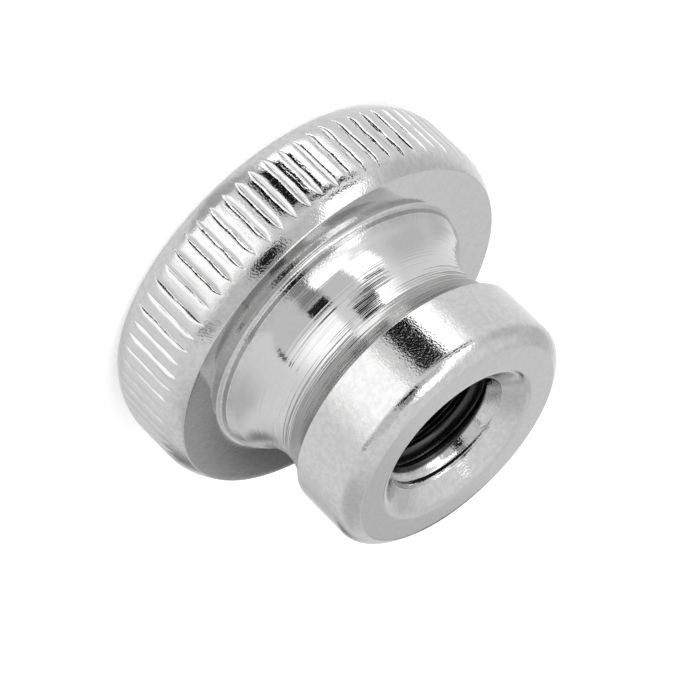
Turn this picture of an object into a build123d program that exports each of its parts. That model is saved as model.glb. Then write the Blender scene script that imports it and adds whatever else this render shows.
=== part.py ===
"""Knurled thumb nut, high form, M8: one turned, knurled and tapped piece of plated steel.

The nut stands on the flat back of its head. The origin is the centre of that face, +Z runs
along the thread to the collar, and the lengths are millimetres.
"""
from build123d import *
import os
from math import acos, pi, radians, sqrt, tan

# Head: a rounded disc whose rim carries the knurl.
head_diameter = 24.0
head_thickness = 5.85        # back face to the rim edge of the underside
back_edge_drop = 0.55        # how far the back rounding comes in before it meets the back face
back_edge_run = 1.67         # how far it reaches along the rim
front_edge_drop = 0.63       # the same two for the rounding at the underside
front_edge_run = 1.77
underside_dish = 0.19        # the underside lies this much deeper at its foot than at its rim

# Straight knurl: V grooves of even depth, which run out on the two rounded edges.
knurl_pitch = 0.992          # along the rim, from groove to groove
knurl_depth = 0.18
knurl_angle = 105.0          # between the two sides of a groove

# Neck: a short land at its root, then one round groove up to the collar.
root_overhang = 0.63         # the land's radius over the collar's
root_land_height = 0.67
neck_depth = 0.85            # of the groove below the collar
neck_arc_radius = 3.7

# Collar: a plain cylinder with a rounded front edge.
collar_diameter = 16.0
collar_length = 4.35         # back edge to end face
collar_edge_radius = 1.5
collar_edge_drop = 0.95      # how far the rounding comes in before it meets the end face

# Bore: M8 thread, left here as a plain bore of the thread's minor diameter.
bore_diameter = 6.65
countersink_diameter = 10.46  # at the collar's end face
countersink_angle = 104.0
lead_in_diameter = 8.12       # where the countersink ends and the steeper lead-in starts
lead_in_angle = 47.0
back_chamfer = 1.0            # 45 degree chamfer of the bore at the back face


def arc_run(radius, drop):
    """Height of an arc that leaves a line tangentially and ends the given drop away from it."""
    return sqrt(radius**2 - (radius - drop) ** 2)


def tangent_run(radius, drop):
    """Distance from the end of such an arc's line to the corner with the tangent at its other end."""
    return radius * tan(acos(1 - drop / radius) / 2)


def cone_run(outer, inner, included_angle):
    """Height of a cone between two diameters."""
    return (outer - inner) / 2 / tan(radians(included_angle / 2))


head_radius = head_diameter / 2
collar_radius = collar_diameter / 2
bore_radius = bore_diameter / 2
neck_radius = collar_radius - neck_depth
root_radius = collar_radius + root_overhang

# Heights, from the back face up.
foot_height = head_thickness - underside_dish
land_height = foot_height + root_land_height
throat_height = land_height + arc_run(neck_arc_radius, root_radius - neck_radius)
collar_back_height = throat_height + arc_run(neck_arc_radius, neck_depth)
end_height = collar_back_height + collar_length
countersink_height = end_height - cone_run(countersink_diameter, lead_in_diameter, countersink_angle)
lead_in_height = countersink_height - cone_run(lead_in_diameter, bore_diameter, lead_in_angle)

with BuildPart() as thumb_nut:
    # The turned form, as one section revolved about the thread axis.
    with BuildSketch(Plane.XZ):
        with BuildLine():
            # Back face and rim. Each rounding leaves the rim tangentially and turns over to its face.
            back_face = Line((bore_radius + back_chamfer, 0), (head_radius - back_edge_drop, 0))
            rim = Line((head_radius, back_edge_run), (head_radius, head_thickness - front_edge_run))
            Bezier(back_face @ 1, (head_radius, back_edge_run / 2), rim @ 0)
            rim_edge = (head_radius - front_edge_drop, head_thickness)
            Bezier(rim @ 1, (head_radius, head_thickness - front_edge_run / 2), rim_edge)
            # Dished underside, and the land at the root of the neck.
            land_edge = (root_radius, land_height)
            Polyline(rim_edge, (root_radius, foot_height), land_edge)
            # Round neck: one curve in to the throat and one out to the back edge of the collar, each
            # steered by the corner where the tangents at its two ends meet.
            throat = (neck_radius, throat_height)
            collar_back = (collar_radius, collar_back_height)
            root_corner = throat_height - tangent_run(neck_arc_radius, root_radius - neck_radius)
            collar_corner = throat_height + tangent_run(neck_arc_radius, neck_depth)
            Bezier(land_edge, (neck_radius, root_corner), throat)
            Bezier(throat, (neck_radius, collar_corner), collar_back)
            # Collar and end face.
            collar_front = (collar_radius, end_height - arc_run(collar_edge_radius, collar_edge_drop))
            end_edge = (collar_radius - collar_edge_drop, end_height)
            Line(collar_back, collar_front)
            RadiusArc(collar_front, end_edge, -collar_edge_radius)
            # Down through the countersink and the bore.
            Polyline(
                end_edge,
                (countersink_diameter / 2, end_height),
                (lead_in_diameter / 2, countersink_height),
                (bore_radius, lead_in_height),
                (bore_radius, back_chamfer),
                back_face @ 0,
            )
        make_face()
    revolve(axis=Axis.Z)

    # The knurl, cut straight along the rim.
    groove_count = round(pi * head_diameter / knurl_pitch)
    groove_half_width = knurl_depth * tan(radians(knurl_angle / 2))
    with BuildSketch(Plane.XY):
        with PolarLocations(head_radius, groove_count, start_angle=180 / groove_count):
            # A triangle with its point inward, twice as tall as the groove is deep.
            Polygon(
                (-knurl_depth, 0),
                (knurl_depth, 2 * groove_half_width),
                (knurl_depth, -2 * groove_half_width),
                align=None,
            )
    extrude(amount=head_thickness, mode=Mode.SUBTRACT)

thumb_nut.part.label = "thumb_nut"

os.makedirs("parts", exist_ok=True)
export_step(thumb_nut.part, "parts/thumb_nut.step")
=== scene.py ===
"""The knurled thumb nut as it looks: one bright plated piece with a cut knurl and an M8 thread.

The mesh is one closed skin of rings around the thread axis. Lengths are millimetres up to the
moment they become vertices, and angles around the axis start at the +X axis.
"""
from math import atan2, cos, pi, radians, sin, sqrt, tan

import bpy
import bmesh
import numpy as np
from mathutils import Matrix, Vector


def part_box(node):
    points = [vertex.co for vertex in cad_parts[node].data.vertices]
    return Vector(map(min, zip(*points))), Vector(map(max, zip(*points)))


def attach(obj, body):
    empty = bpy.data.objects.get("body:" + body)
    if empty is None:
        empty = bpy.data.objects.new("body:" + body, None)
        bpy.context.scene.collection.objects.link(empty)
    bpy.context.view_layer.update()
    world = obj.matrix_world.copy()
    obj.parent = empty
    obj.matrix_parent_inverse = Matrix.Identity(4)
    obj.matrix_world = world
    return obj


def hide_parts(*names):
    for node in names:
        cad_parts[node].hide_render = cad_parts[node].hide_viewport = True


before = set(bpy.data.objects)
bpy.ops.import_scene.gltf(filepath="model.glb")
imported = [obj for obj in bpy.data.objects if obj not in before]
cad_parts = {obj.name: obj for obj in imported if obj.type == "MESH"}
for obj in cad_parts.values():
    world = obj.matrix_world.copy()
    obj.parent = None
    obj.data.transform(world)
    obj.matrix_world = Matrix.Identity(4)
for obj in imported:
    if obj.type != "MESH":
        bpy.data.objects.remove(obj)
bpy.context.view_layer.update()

MM = 0.001
NODE = "thumb_nut"
node_low, node_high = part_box(NODE)

# Sizes of the turned form: the CAD model's, and those of the finer forms that it leaves out.
head_radius = (node_high[0] - node_low[0]) / 2 / MM
nut_height = (node_high[2] - node_low[2]) / MM
head_thickness = 5.85
back_edge_drop, back_edge_run = 0.55, 1.67
front_edge_drop, front_edge_run = 0.63, 1.77
underside_dish = 0.19
collar_radius = 8.0
root_radius = collar_radius + 0.63
root_land_height = 0.67
# The land at the neck's root ends this much lower, and a short cone of this height leads into the neck.
root_cone_drop, root_cone_height = 0.13, 0.44
foot_fillet = 0.3
neck_radius = collar_radius - 0.85
neck_arc_radius = 3.7
collar_edge_radius = 1.5
collar_edge_drop = 0.95
collar_edge_start, collar_edge_corner = 0.3, 0.92    # above where a plain edge radius would start
countersink_radius = 5.23
countersink_depth = 0.914
lead_in_radius = 4.06
lead_in_angle = 47.0
countersink_lip_out, countersink_lip_in = 0.35, 0.3  # of the rounded edge to the end face
back_chamfer = 1.0

# Thread M8 x 1.25, right-handed.
thread_pitch = 1.25
thread_crest_radius = 3.325
thread_root_radius = 4.0
thread_crest_flat = thread_pitch / 4
thread_root_flat = thread_pitch / 8

# Knurl. The first groove lies half a pitch from the +X axis.
groove_count = 76
groove_depth = 0.16
groove_reach = 0.36          # from its middle to where its lip meets the land
groove_power = 2.6           # of the curve between the two: steep at the bottom, flat at the lip
groove_edge = 0.012          # softness of its outline on the rounded edges
land_crown_radius = 8.0
waist_height, waist_depth, waist_width = 2.38, 0.012, 0.12   # slight seam round the middle of the rim

# How the grooves sway: one slow random line each, in steps up the rim, and a constant part.
groove_sway = 0.018          # sideways, from the even pitch
depth_sway = 0.15            # share of the depth
sway_seed = 8
sway_steps = 60
sway_smooth, sway_reach = 2.2, 9    # width of the bell that smooths the line, and its half length, in steps
sway_constant = 1.2          # next to the line's width of 1
sway_width = 1.6             # of the two together, about; it is divided out

# Mesh.
plating_rounding = 0.035     # how far the plating rounds every sharp corner
profile_step = 0.01
arc_points, rounding_points = 60, 40
row_step, rim_row_step, back_row_step = 0.24, 0.16, 1.3
row_turn = radians(7)        # one more row for each such turn of the profile
# Extra rows beside the bore's sharp edges keep those edges crisp; counted in rows from the line's ends.
first_extra_rows, last_extra_rows = (0.03, 0.1), (0.4, 0.12)
rim_columns = (0, 0.025, 0.07, 0.13, 0.2, 0.28, 0.37)   # from a groove's middle to the land's, along the rim
body_columns, bore_columns = 152, 76    # the bore's divide the body's, and these divide the rim's
rim_margin = 0.35            # past the back edge's rounding, still with the rim's columns
bore_margin_out, bore_margin_down = 0.2, 0.1    # past the countersink, still with the bore's columns
thread_rows = 12             # for each turn
back_margin, rim_depth = 0.002, 0.3    # rows this near the back face or the head's radius lie on it
hair = 1e-6                  # keeps an angle that stands right on a groove's border in the groove it starts
weld_distance = 0.0001


def bell(reach, width):
    """Weights of a bell curve, from -reach to reach in whole steps."""
    return np.exp(-0.5 * (np.arange(-reach, reach + 1) / width) ** 2)


def arc(start, end, radius, bulge):
    """Points of an arc between two points; bulge 1 bends it to the left of its chord, -1 to the right."""
    start, end = np.array(start), np.array(end)
    chord = end - start
    half = np.linalg.norm(chord) / 2
    left = np.array((-chord[1], chord[0])) / (2 * half)
    centre = (start + end) / 2 - bulge * left * sqrt(radius**2 - half**2)
    first = atan2(*(start - centre)[::-1])
    turn = -bulge * 2 * np.arcsin(half / radius)
    angles = first + turn * np.linspace(0, 1, arc_points)
    return [tuple(centre + radius * np.array((cos(a), sin(a)))) for a in angles]


def rounding(start, corner, end):
    """Points of a parabola that leaves start and reaches end along the lines to the corner."""
    t = np.linspace(0, 1, rounding_points)[:, None]
    start, corner, end = (np.array(p) for p in (start, corner, end))
    return [tuple(p) for p in (1 - t) ** 2 * start + 2 * t * (1 - t) * corner + t**2 * end]


def turned_profile():
    """(radius, height) points from the bore's edge at the back, round the outside, to the lead-in."""
    foot_height = head_thickness - underside_dish
    land_height = foot_height + root_land_height
    throat_rise = sqrt(neck_arc_radius**2 - (neck_arc_radius - root_radius + neck_radius) ** 2)
    collar_rise = sqrt(neck_arc_radius**2 - (neck_arc_radius - collar_radius + neck_radius) ** 2)
    throat = (neck_radius, land_height + throat_rise)
    collar_back = (collar_radius, throat[1] + collar_rise)
    collar_run = sqrt(collar_edge_radius**2 - (collar_edge_radius - collar_edge_drop) ** 2)
    points = [(thread_crest_radius + back_chamfer, 0.0)]
    points += rounding((head_radius - back_edge_drop, 0), (head_radius, back_edge_run / 2),
                       (head_radius, back_edge_run))
    points += rounding((head_radius, head_thickness - front_edge_run),
                       (head_radius, head_thickness - front_edge_run / 2),
                       (head_radius - front_edge_drop, head_thickness))
    points += arc((root_radius + foot_fillet, foot_height), (root_radius, foot_height + foot_fillet),
                  foot_fillet, 1)
    cone_start = land_height - root_cone_drop
    cone_end = cone_start + root_cone_height
    cone_radius = neck_radius + neck_arc_radius - sqrt(neck_arc_radius**2 - (throat[1] - cone_end) ** 2)
    points += [(root_radius, cone_start)]
    points += arc((cone_radius, cone_end), throat, neck_arc_radius, 1)
    points += arc(throat, collar_back, neck_arc_radius, 1)[1:]
    collar_front = nut_height - collar_run
    points += rounding((collar_radius, collar_front + collar_edge_start),
                       (collar_radius, collar_front + collar_edge_corner),
                       (collar_radius - collar_edge_drop, nut_height))
    cone_slope = countersink_depth / (countersink_radius - lead_in_radius)
    points += rounding((countersink_radius + countersink_lip_out, nut_height),
                       (countersink_radius, nut_height),
                       (countersink_radius - countersink_lip_in,
                        nut_height - countersink_lip_in * cone_slope))
    points += [(lead_in_radius, nut_height - countersink_depth)]
    return np.array(points)


def plated(points):
    """The same line in even small steps, with its corners rounded as plating leaves them."""
    along = np.concatenate(([0], np.cumsum(np.hypot(*np.diff(points, axis=0).T))))
    even = np.arange(0, along[-1], profile_step)
    line = np.stack([np.interp(even, along, points[:, k]) for k in (0, 1)], axis=1)
    width = plating_rounding / profile_step
    reach = int(4 * width)
    weights = bell(reach, width)
    weights /= weights.sum()
    # Each end is drawn out by its own mirror image, so that it stays where it is.
    before, after = 2 * line[0] - line[reach:0:-1], 2 * line[-1] - line[-2:-reach - 2:-1]
    padded = np.concatenate((before, line, after))
    return np.stack([np.convolve(padded[:, k], weights, "valid") for k in (0, 1)], axis=1)


def chosen_rows(line):
    """The points of the line that become rings: close together where it bends, wider where it is straight."""
    steps = np.diff(line, axis=0)
    length = np.hypot(*steps.T)
    turn = np.abs(np.diff(np.unwrap(np.arctan2(steps[:, 1], steps[:, 0]))))
    middle = (line[1:] + line[:-1]) / 2
    on_back = middle[:, 1] < back_margin
    on_rim = (middle[:, 0] > head_radius - rim_depth) & ~on_back
    allowed = np.where(on_back, back_row_step, np.where(on_rim, rim_row_step, row_step))
    cost = np.concatenate(([0], np.cumsum(length / allowed + np.append(turn, 0) / row_turn)))
    count = int(np.ceil(cost[-1]))
    extra = np.append(first_extra_rows, cost[-1] - np.array(last_extra_rows))
    wanted = np.sort(np.append(np.linspace(0, cost[-1], count + 1), extra))
    return np.stack([np.interp(wanted, cost, line[:, k]) for k in (0, 1)], axis=1)


def ring(radii, heights, angles):
    """Vertices of a ring, in metres."""
    radii, heights, angles = np.broadcast_arrays(radii, heights, angles)
    return np.stack((radii * np.cos(angles), radii * np.sin(angles), heights), axis=1) * MM


def rim_angles():
    """Angles of the finest rings: columns crowd into each groove and its lips."""
    pitch = 2 * pi / groove_count
    one_side = np.array(rim_columns) / head_radius
    offsets = np.concatenate((-one_side[:0:-1], one_side, [pitch / 2]))
    return ((np.arange(groove_count)[:, None] + 0.5) * pitch + offsets).ravel()


def groove_wander(random):
    """One slow random line for each groove, in steps up the rim, about as wide as 1."""
    weights = bell(sway_reach, sway_smooth)
    weights /= sqrt((weights**2).sum())
    noise = random.normal(size=(groove_count, sway_steps + 2 * sway_reach))
    lines = np.stack([np.convolve(row, weights, "valid") for row in noise])
    return (lines + sway_constant * random.normal(size=(groove_count, 1))) / sway_width


def knurled(radius, height, angles, wander):
    """Radii around one ring of the rim: the turned radius, less the grooves and the lands' crown."""
    pitch = 2 * pi / groove_count
    cell = np.floor(angles / pitch + hair)
    groove = cell.astype(int) % groove_count
    step = int(np.clip(height / head_thickness * sway_steps, 0, sway_steps - 1))
    across = (angles / pitch - cell - 0.5) * pitch * head_radius
    across = across + groove_sway * wander["across"][groove, step]
    land_half = pitch * head_radius / 2
    crown = np.clip(land_half - np.abs(across), 0, None) ** 2 / (2 * land_crown_radius)
    depth = groove_depth * (1 + depth_sway * wander["depth"][groove, step])
    floor = head_radius - depth * np.clip(1 - np.abs(across) / groove_reach, 0, 1) ** groove_power
    reach = np.clip((radius - head_radius + groove_depth) / groove_depth, 0, 1)
    waist = waist_depth * np.exp(-(((height - waist_height) / waist_width) ** 2))
    land = radius - (crown + waist) * reach
    return (land + floor + groove_edge - np.sqrt((land - floor) ** 2 + groove_edge**2)) / 2


def bridge(first, second, start_first, start_second):
    """Faces between two rings of vertices, where one may have a whole number of times the other's."""
    faces = []
    if first < second:
        flipped = bridge(second, first, start_second, start_first)
        return [face[::-1] for face in flipped]
    ratio = first // second
    for cell in range(second):
        near = [start_first + (cell * ratio + k) % first for k in range(ratio + 1)]
        far = (start_second + cell, start_second + (cell + 1) % second)
        middle = ratio // 2
        for k in range(ratio):
            if ratio % 2 and k == middle:
                faces.append((near[k], near[k + 1], far[1], far[0]))
            else:
                faces.append((near[k], near[k + 1], far[0] if k < ratio / 2 else far[1]))
        if ratio % 2 == 0:
            faces.append((near[middle], far[1], far[0]))
    return faces


def thread_radius(share):
    """Radius of the thread at a share of one turn's pitch, measured along the axis from a crest."""
    from_crest = min(share, 1 - share) * thread_pitch
    flank = from_crest - thread_crest_flat / 2
    slope = (thread_root_radius - thread_crest_radius) / (
        (thread_pitch - thread_crest_flat - thread_root_flat) / 2)
    return min(max(thread_crest_radius, thread_crest_radius + flank * slope), thread_root_radius)


def bore_skin(angles, top):
    """Vertices and faces of the threaded bore. Its rows climb with the thread, so they are cut off
    level at the lead-in and at the back face, where they fall together into one ring."""
    turns = int(np.ceil(top / thread_pitch)) + 2
    rows = turns * thread_rows
    lead_in_slope = tan(radians(lead_in_angle / 2))
    vertices = []
    for row in range(rows):
        height = top + thread_pitch - row * thread_pitch / thread_rows + thread_pitch * angles / (2 * pi)
        height = np.clip(height, 0, top)
        lead_in = lead_in_radius - (top - height) * lead_in_slope
        chamfer = thread_crest_radius + back_chamfer - height
        radius = np.maximum(np.maximum(lead_in, chamfer), thread_radius(row % thread_rows / thread_rows))
        vertices.append(ring(radius, height, angles))
    count = len(angles)
    faces = []
    for row in range(rows - 1):
        for column in range(count):
            here, below = row * count + column, (row + 1) * count + column
            if column + 1 < count:
                faces.append((here, here + 1, below + 1, below))
            else:
                # One turn on, the next column is the first one again, a pitch higher.
                ahead = [max(r - thread_rows, 0) * count for r in (row, row + 1)]
                faces.append((here, ahead[0], ahead[1], below))
    return np.concatenate(vertices), faces


def nut_rings(fine, body, bore):
    """The rings of the turned outside, from the bore's edge at the back to the lead-in."""
    line = plated(turned_profile())
    line[:, 1] = np.clip(line[:, 1], 0, nut_height)
    random = np.random.RandomState(sway_seed)
    wander = {"across": groove_wander(random), "depth": groove_wander(random)}
    rim_inner = head_radius - back_edge_drop - rim_margin
    bore_bottom = nut_height - countersink_depth - bore_margin_down
    rings = []
    for radius, height in chosen_rows(line):
        if height < head_thickness + profile_step and radius > rim_inner:
            rings.append(ring(knurled(radius, height, fine, wander), height, fine))
        elif height > bore_bottom and radius < countersink_radius + bore_margin_out:
            rings.append(ring(radius, height, bore))
        else:
            rings.append(ring(radius, height, body))
    return rings


def thumb_nut_mesh():
    """The whole skin of the nut."""
    fine = rim_angles()
    body, bore = (fine[0] + np.arange(count) * 2 * pi / count for count in (body_columns, bore_columns))
    rings = nut_rings(fine, body, bore)
    faces, start = [], 0
    for before, after in zip(rings, rings[1:]):
        faces += bridge(len(before), len(after), start, start + len(before))
        start += len(before)
    # The bore's first ring is the outside's last, and its last ring is joined to the outside's first.
    first_bore = start + len(rings[-1])
    bore_vertices, bore_faces = bore_skin(bore, rings[-1][0, 2] / MM)
    bore_vertices[:len(bore)] = rings[-1]
    faces += [tuple(i + first_bore for i in face) for face in bore_faces]
    vertices = np.concatenate(rings + [bore_vertices])
    faces += bridge(len(bore), len(body), len(vertices) - len(bore), 0)
    mesh = bpy.data.meshes.new("thumb_nut_plated")
    mesh.from_pydata(vertices.tolist(), [], [list(face) for face in faces])
    work = bmesh.new()
    work.from_mesh(mesh)
    bmesh.ops.remove_doubles(work, verts=work.verts, dist=weld_distance * MM)
    bmesh.ops.dissolve_degenerate(work, edges=work.edges, dist=weld_distance * MM)
    bmesh.ops.recalc_face_normals(work, faces=work.faces)
    work.to_mesh(mesh)
    triangles = sum(len(face.verts) - 2 for face in work.faces)
    open_edges = sum(not edge.is_manifold for edge in work.edges)
    print("rings", len(rings), "triangles", triangles, "open edges", open_edges)
    work.free()
    mesh.shade_smooth()
    return mesh


# === Materials, stage and light
# Zones of the skin. Each edge has the two values between which it fades.
neck_start, neck_end = (6.3, 6.6), (11.4, 11.7)      # heights
neck_full_marks = (7.2, 8.1)                         # heights between which the turning marks grow
bore_wall, bore_end = (4.0, 4.1), (14.1, 14.25)      # radius and height
rim_wall = (11.3, 11.6)                              # radius
rim_upright, face_flat = (0.08, 0.3), (0.85, 0.98)   # how far the skin looks along the axis, of 1

# Colours and roughness of the plating and of the bore, where a near-black colour paints the shade inside the
# thread.
plating_colour, bore_shade_colour = (0.58, 0.58, 0.578), (0.06, 0.06, 0.06, 1)
plating_roughness, bore_roughness = 0.035, 0.28

# Relief: how many times each metre the noise repeats, and how deep it is.
coarse_peel_scale, coarse_peel_depth = 1600, 0.006
fine_peel_scale, fine_peel_depth = 9000, 0.009
cell_scale, cell_depth, cell_smoothness = 7000, 0.003, 0.4
turned_smoother = 0.75                               # share of the peel that neck and faces lack
turning_scales, turning_depth = (90, 90, 5500), 0.04       # along x, y and z
root_marks, bore_marks = 0.3, 0.6                    # share of the neck's marks
scratch_scales, scratch_depth, scratch_detail = (5500, 5500, 400), 0.012, 3

# Mottling: darker spots, and dark scratches on the rim.
mottle_scale, mottle_detail, mottle_range, mottle_dark = 3200, 5, (0.38, 0.62), 0.1
even_walls, even_faces = 0.8, 0.5                    # share that neck and rim, or the flat faces, lack
stain_range, stain_dark = (0.58, 0.7), 0.18

# Floor.
floor_radius = 3000.0
floor_drop = 0.01            # under the back face, so that the two aren't in one plane
floor_white = 0.96
floor_glow = 0.3             # seen by the camera only

# Card behind the nut, seen only in the metal, that glows in tones of painted shade: the shadowed surface near
# the nut as the head's underside and end face mirror it. Its fades and tones run over shares of its width or
# height from its middle.
card_place = (11.0, 45.0, 34.5)
card_width, card_height = 28.0, 27.0
card_left, card_right = (-0.47, -0.2), (0.2, 0.5)
card_bottom, card_top = (-0.5, -0.37), (0.35, 0.5)
# These tones are all painted shade: the lower part darker, painted shadow darkest on its left, for the
# underside; the upper part paler, for the end face.
card_slant, card_tones = (0.06, 0.28), (0.15, 0.52)  # of the lower part, which is darker on its left
card_step, card_upper_tone = (-0.2, -0.1), 0.72      # above this step it is paler

# Camera, placed for azimuth 0 and then turned a little, so that the grooves lie as on the real nut.
camera_azimuth, camera_elevation = 0.45, 25.52
camera_roll = 134.73
camera_place = (0.497, -173.55, 89.17)
camera_lens, camera_sensor = 180, 36


def shader_nodes(material):
    """The emptied node tree of a material."""
    material.use_nodes = True
    material.node_tree.nodes.clear()
    return material.node_tree


def surface(tree, shader):
    """Puts a shader on the material."""
    output = tree.nodes.new("ShaderNodeOutputMaterial")
    tree.links.new(shader, output.inputs["Surface"])


def axes_of(tree, vector):
    """The three numbers of a vector."""
    split = tree.nodes.new("ShaderNodeSeparateXYZ")
    tree.links.new(vector, split.inputs[0])
    return split.outputs


def coordinate(tree, kind):
    """Texture coordinate of one kind."""
    return tree.nodes.new("ShaderNodeTexCoord").outputs[kind]


def math_node(tree, operation, *values):
    """A math node fed by sockets or by plain numbers; returns its result."""
    node = tree.nodes.new("ShaderNodeMath")
    node.operation = operation
    for socket, value in zip(node.inputs, values):
        if isinstance(value, (int, float)):
            socket.default_value = value
        else:
            tree.links.new(value, socket)
    return node.outputs[0]


def product(tree, *values):
    """All the values multiplied."""
    result = values[0]
    for value in values[1:]:
        result = math_node(tree, "MULTIPLY", result, value)
    return result


def rest(tree, share):
    """What a share leaves of 1."""
    return math_node(tree, "SUBTRACT", 1.0, share)


def ramp_node(tree, value, low, high, to_low=0.0, to_high=1.0):
    """Soft step of a value between low and high."""
    node = tree.nodes.new("ShaderNodeMapRange")
    node.interpolation_type = "SMOOTHSTEP"
    tree.links.new(value, node.inputs["Value"])
    for name, number in (("From Min", low), ("From Max", high), ("To Min", to_low), ("To Max", to_high)):
        node.inputs[name].default_value = number
    return node.outputs["Result"]


def fade_in(tree, length, span):
    """0 below a span of millimetres, 1 above it."""
    return ramp_node(tree, length, span[0] * MM, span[1] * MM)


def fade_out(tree, length, span):
    """1 below a span of millimetres, 0 above it."""
    return ramp_node(tree, length, span[0] * MM, span[1] * MM, 1, 0)


def noise_height(tree, vector, scale, detail=2.0):
    """Smooth noise, about 0.5 in the mean."""
    noise = tree.nodes.new("ShaderNodeTexNoise")
    noise.inputs["Scale"].default_value = scale
    noise.inputs["Detail"].default_value = detail
    tree.links.new(vector, noise.inputs["Vector"])
    return noise.outputs["Fac"]


def streaked_noise(tree, axes, scales, detail):
    """Noise with its own scale along each axis, which draws it out into streaks."""
    place = tree.nodes.new("ShaderNodeCombineXYZ")
    for socket, value, scale in zip(place.inputs, axes, scales):
        tree.links.new(math_node(tree, "MULTIPLY", value, scale), socket)
    return noise_height(tree, place.outputs[0], 1, detail)


def cell_height(tree, vector):
    """Smooth distance from the middles of small random cells."""
    cells = tree.nodes.new("ShaderNodeTexVoronoi")
    cells.feature = "SMOOTH_F1"
    cells.inputs["Scale"].default_value = cell_scale
    cells.inputs["Smoothness"].default_value = cell_smoothness
    tree.links.new(vector, cells.inputs["Vector"])
    return cells.outputs["Distance"]


def bump(tree, height, depth, strength, under=None):
    """Bump of a height map that is depth millimetres high, laid over an earlier one."""
    node = tree.nodes.new("ShaderNodeBump")
    node.inputs["Distance"].default_value = depth * MM
    tree.links.new(height, node.inputs["Height"])
    tree.links.new(strength, node.inputs["Strength"])
    if under:
        tree.links.new(under, node.inputs["Normal"])
    return node.outputs["Normal"]


def mixed_shaders(tree, factor, first, second):
    """Goes from the first shader to the second as the factor goes from 0 to 1."""
    mix = tree.nodes.new("ShaderNodeMixShader")
    tree.links.new(factor, mix.inputs["Fac"])
    tree.links.new(first, mix.inputs[1])
    tree.links.new(second, mix.inputs[2])
    return mix.outputs[0]


def skin_zones(tree, axes):
    """Masks of the neck, the bore, the knurled rim and the flat faces."""
    x, y, z = axes
    radius = math_node(tree, "SQRT", math_node(tree, "ADD", product(tree, x, x), product(tree, y, y)))
    along_axis = math_node(tree, "ABSOLUTE", axes_of(tree, coordinate(tree, "Normal"))[2])
    return {
        "neck": product(tree, fade_in(tree, z, neck_start), fade_out(tree, z, neck_end)),
        "bore": product(tree, fade_out(tree, radius, bore_wall), fade_out(tree, z, bore_end)),
        "rim": product(tree, fade_in(tree, radius, rim_wall),
                       ramp_node(tree, along_axis, *rim_upright, 1, 0)),
        "flat": ramp_node(tree, along_axis, *face_flat),
    }


def plating_normal(tree, place, axes, zones, scratch):
    """Orange peel, turning marks on the neck and in the bore, and scratches along the rim."""
    turned = math_node(tree, "MAXIMUM", zones["neck"], zones["flat"])
    peel = rest(tree, product(tree, turned, turned_smoother))
    marks = product(tree, zones["neck"], ramp_node(
        tree, axes[2], neck_full_marks[0] * MM, neck_full_marks[1] * MM, root_marks, 1.0))
    marks = math_node(tree, "MAXIMUM", marks, product(tree, zones["bore"], bore_marks))
    turning = streaked_noise(tree, axes, turning_scales, 2)
    normal = bump(tree, noise_height(tree, place, coarse_peel_scale), coarse_peel_depth, peel)
    normal = bump(tree, noise_height(tree, place, fine_peel_scale), fine_peel_depth, peel, under=normal)
    normal = bump(tree, cell_height(tree, place), cell_depth, peel, under=normal)
    normal = bump(tree, turning, turning_depth, marks, under=normal)
    return bump(tree, scratch, scratch_depth, zones["rim"], under=normal)


def plating_brightness(tree, place, zones, scratch):
    """Share of the plating's colour that mottling and the rim's scratches leave."""
    walls = math_node(tree, "MAXIMUM", zones["neck"], zones["rim"])
    even = math_node(tree, "MAXIMUM", product(tree, walls, even_walls),
                     product(tree, zones["flat"], even_faces))
    spots = ramp_node(tree, noise_height(tree, place, mottle_scale, mottle_detail),
                      *mottle_range, mottle_dark, 0)
    stains = product(tree, zones["rim"], ramp_node(tree, scratch, *stain_range, 0, stain_dark))
    return product(tree, rest(tree, product(tree, spots, rest(tree, even))), rest(tree, stains))


def plated_steel():
    """Bright plating, and in the thread a dull, near-black colour that paints the shade inside the bore."""
    material = bpy.data.materials.new("plated_steel")
    tree = shader_nodes(material)
    place = coordinate(tree, "Object")
    axes = axes_of(tree, place)
    zones = skin_zones(tree, axes)
    scratch = streaked_noise(tree, axes, scratch_scales, scratch_detail)

    plating = tree.nodes.new("ShaderNodeVectorMath")
    plating.operation = "SCALE"
    plating.inputs[0].default_value = plating_colour
    tree.links.new(plating_brightness(tree, place, zones, scratch), plating.inputs["Scale"])
    colour = tree.nodes.new("ShaderNodeMix")
    colour.data_type = "RGBA"
    plated_input, shaded_bore_input = colour.inputs[6:8]    # the mix node's two colours
    tree.links.new(plating.outputs[0], plated_input)
    # The bore's near-black colour is painted shade.
    shaded_bore_input.default_value = bore_shade_colour
    tree.links.new(zones["bore"], colour.inputs["Factor"])

    shader = tree.nodes.new("ShaderNodeBsdfPrincipled")
    shader.inputs["Metallic"].default_value = 1
    tree.links.new(colour.outputs[2], shader.inputs["Base Color"])
    roughness = ramp_node(tree, zones["bore"], 0, 1, plating_roughness, bore_roughness)
    tree.links.new(roughness, shader.inputs["Roughness"])
    tree.links.new(plating_normal(tree, place, axes, zones, scratch), shader.inputs["Normal"])
    surface(tree, shader.outputs["BSDF"])
    return material


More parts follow.
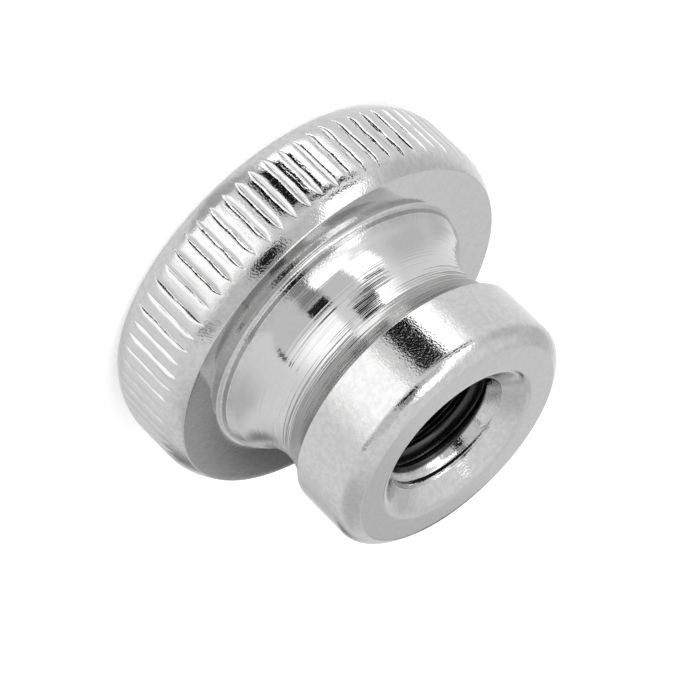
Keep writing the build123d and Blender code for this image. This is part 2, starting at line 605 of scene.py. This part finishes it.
def patch(tree, angles, light, brightness, sides, ends, soft=3.0, lean=0.0):
    """Lays a soft-edged patch between two azimuths and two elevations over the light so far.
    soft is one width, or one for each of the four edges. The patch leans by lean degrees of
    azimuth for each degree of elevation above its middle."""
    azimuth, elevation = angles
    left, right, low, high = soft if isinstance(soft, tuple) else (soft,) * 4
    if lean:
        rise = math_node(tree, "SUBTRACT", elevation, sum(ends) / 2)
        azimuth = math_node(tree, "SUBTRACT", azimuth, product(tree, rise, lean))
    mask = product(
        tree,
        ramp_node(tree, azimuth, sides[0] - left, sides[0] + left),
        ramp_node(tree, azimuth, sides[1] - right, sides[1] + right, 1, 0),
        ramp_node(tree, elevation, ends[0] - low, ends[0] + low),
        ramp_node(tree, elevation, ends[1] - high, ends[1] + high, 1, 0))
    mix = tree.nodes.new("ShaderNodeMix")
    tree.links.new(mask, mix.inputs["Factor"])
    if isinstance(light, float):
        mix.inputs["A"].default_value = light
    else:
        tree.links.new(light, mix.inputs["A"])
    mix.inputs["B"].default_value = brightness
    return mix.outputs["Result"]


def studio_light(tree):
    """Brightness of the studio in every direction, by azimuth and elevation in degrees. Azimuth 0 is
    the camera's side of the thread axis and grows towards +X. Later patches lie over earlier ones."""
    x, y, z = axes_of(tree, coordinate(tree, "Generated"))
    degrees = 180 / pi
    azimuth = product(tree, math_node(tree, "ARCTAN2", x, product(tree, y, -1.0)), degrees)
    elevation = product(tree, math_node(tree, "ARCSINE", z), degrees)

    def lay(*place, **shape):
        return patch(tree, (azimuth, elevation), *place, **shape)

    light = 1.04                                                               # white walls
    light = lay(light, 0.98, (70, 130), (-2, 62), soft=(20, 5, 10, 12))        # greyer wall, right
    light = lay(light, 0.89, (130, 181), (2, 62), soft=(10, 0.5, 10, 12))      # and behind
    light = lay(light, 0.89, (-181, -130), (2, 62), soft=(0.5, 10, 10, 12))    # and on to the left
    light = lay(light, 0.72, (95, 152), (12, 48), soft=(20, 8, 10, 12))        # darker at head height
    light = lay(light, 0.75, (-158, -125), (0, 30), soft=(8, 12, 8, 10))       # and so on the left
    light = lay(light, 0.76, (128, 176), (-60, 0), soft=(25, 5, 20, 10))       # lower, behind right
    light = lay(light, 0.78, (-125, -78), (-2, 38), soft=14)                   # shaded corner, left
    light = lay(light, 0.3, (140, 158), (-20, 0), soft=8)                      # something dark behind
    light = lay(light, 0.85, (-38, 54), (14, 62), soft=(5, 5, 6, 6))           # wall behind the camera
    light = lay(light, 0.62, (-45, 30), (-110, -52), soft=(20, 20, 5, 8))      # darker floor before it
    light = lay(light, 2.6, (-63, -40), (-55, -18), soft=(16, 3, 10, 5))       # soft box, left: foot
    light = lay(light, 1.4, (-63, -40), (-18, 12), soft=(16, 3, 5, 4))         # its middle, shaded
    light = lay(light, 2.6, (-66, -40), (13, 45), soft=(5, 4, 3, 4))           # its body
    light = lay(light, 1.35, (-78, -36), (46, 66), soft=(10, 5, 4, 8))         # its top, over the nut
    light = lay(light, 2.8, (-56, -7), (51, 75), soft=(8, 3, 6, 4))            # second box, overhead
    light = lay(light, 1.7, (-5, 45), (-50, 4), soft=(4, 20, 8, 14))           # low soft box, front
    light = lay(light, 0.5, (-34, -20), (-50, -32), soft=4)                    # foot of the flag
    light = lay(light, 0.01, (-45.5, -19.5), (-36, -16), soft=(1.5, 1.5, 3, 2.5))   # flag
    light = lay(light, 0.75, (-45, -22), (-20, 2), soft=(2, 2, 3, 2))          # its arms
    light = lay(light, 0.1, (-36, -16), (-13, -11), soft=(2, 2, 1, 1))         # dark bar across them
    light = lay(light, 0.02, (-62, -34), (-9.5, -1), soft=(3, 3, 1.5, 1.5), lean=-0.8)   # leaning bar
    light = lay(light, 0.05, (-63, -42), (10, 16), soft=(3, 3, 1, 1))          # bar under the box's body
    light = lay(light, 0.35, (-10, 14), (40, 60), soft=5)                      # dim shape over the camera
    light = lay(light, 0.02, (-9.5, 12), (19, 38), soft=2)                     # camera
    light = lay(light, 0.15, (51, 55), (5, 32), soft=(1.5, 1.5, 4, 4))         # light stand
    return light


def studio():
    """The studio as light on the nut, and plain white as the camera's background."""
    world = bpy.data.worlds.new("studio")
    bpy.context.scene.world = world
    world.use_nodes = True
    tree = world.node_tree
    tree.nodes.clear()
    lit = tree.nodes.new("ShaderNodeBackground")
    white = tree.nodes.new("ShaderNodeBackground")
    for background in (lit, white):
        background.inputs["Color"].default_value = (1, 1, 1, 1)
    tree.links.new(studio_light(tree), lit.inputs["Strength"])
    white.inputs["Strength"].default_value = 1
    seen = tree.nodes.new("ShaderNodeLightPath").outputs["Is Camera Ray"]
    output = tree.nodes.new("ShaderNodeOutputWorld")
    tree.links.new(mixed_shaders(tree, seen, lit.outputs[0], white.outputs[0]), output.inputs["Surface"])


def pale_floor():
    """White to the camera, with the nut's shadow; the metal mirrors the studio instead. From below
    it is clear, so that the back face can be seen."""
    bpy.ops.mesh.primitive_circle_add(vertices=96, radius=floor_radius * MM, fill_type="NGON",
                                      location=(0, 0, -floor_drop * MM))
    floor = bpy.context.object
    floor.name = "floor"
    material = bpy.data.materials.new("floor_white")
    tree = shader_nodes(material)
    white = tree.nodes.new("ShaderNodeBsdfDiffuse")
    white.inputs["Color"].default_value = (floor_white, floor_white, floor_white, 1)
    glow = tree.nodes.new("ShaderNodeEmission")
    seen = tree.nodes.new("ShaderNodeLightPath").outputs["Is Camera Ray"]
    tree.links.new(product(tree, seen, floor_glow), glow.inputs["Strength"])
    both = tree.nodes.new("ShaderNodeAddShader")
    tree.links.new(white.outputs[0], both.inputs[0])
    tree.links.new(glow.outputs[0], both.inputs[1])
    from_below = tree.nodes.new("ShaderNodeNewGeometry").outputs["Backfacing"]
    clear = tree.nodes.new("ShaderNodeBsdfTransparent")
    surface(tree, mixed_shaders(tree, from_below, both.outputs[0], clear.outputs[0]))
    floor.data.materials.append(material)
    floor.visible_glossy = False


def painted_shade_card():
    """Card close behind the nut that glows in tones of painted shade, seen only in the metal's reflections.
    The head's underside and the end face both look past the nut the same way, and only something near
    shades one side of each: the first more than the second."""
    bpy.ops.mesh.primitive_plane_add(size=1, location=Vector(card_place) * MM, rotation=(pi / 2, 0, 0))
    card = bpy.context.object
    card.name = "painted_shade_card"
    card.scale = (card_width * MM, card_height * MM, 1)
    material = bpy.data.materials.new("card_painted_shade")
    tree = shader_nodes(material)
    x, y = axes_of(tree, coordinate(tree, "Object"))[:2]
    mask = product(tree, ramp_node(tree, x, *card_left), ramp_node(tree, x, *card_right, 1, 0),
                   ramp_node(tree, y, *card_bottom), ramp_node(tree, y, *card_top, 1, 0))
    # The glow's tone is painted shade: darker low down and towards the left, paler above the step.
    slant = math_node(tree, "SUBTRACT", x, y)
    tone = math_node(tree, "MAXIMUM", ramp_node(tree, slant, *card_slant, *card_tones),
                     ramp_node(tree, y, *card_step, 0, card_upper_tone))
    glow = tree.nodes.new("ShaderNodeEmission")
    tree.links.new(tone, glow.inputs["Strength"])
    clear = tree.nodes.new("ShaderNodeBsdfTransparent")
    surface(tree, mixed_shaders(tree, mask, clear.outputs[0], glow.outputs[0]))
    card.data.materials.append(material)
    card.visible_camera = card.visible_diffuse = card.visible_shadow = card.visible_transmission = False


def camera():
    """Looks at the nut from above its collar's side, rolled so that the collar points down right."""
    data = bpy.data.cameras.new("camera")
    data.lens, data.sensor_width = camera_lens, camera_sensor
    data.clip_start, data.clip_end = 0.01, 100
    view = bpy.data.objects.new("camera", data)
    tilt = Matrix.Rotation(pi / 2 - radians(camera_elevation), 4, "X")
    roll = Matrix.Rotation(radians(camera_roll), 4, "Z")
    around = Matrix.Rotation(radians(camera_azimuth), 4, "Z")
    view.matrix_world = around @ Matrix.Translation(Vector(camera_place) * MM) @ tilt @ roll
    bpy.context.scene.collection.objects.link(view)
    bpy.context.scene.camera = view


nut = bpy.data.objects.new("thumb_nut_plated", thumb_nut_mesh())
bpy.context.scene.collection.objects.link(nut)
nut.data.materials.append(plated_steel())
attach(nut, "root")
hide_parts(NODE)
pale_floor()
painted_shade_card()
studio()
camera()
bpy.context.scene.view_settings.view_transform = "Standard"
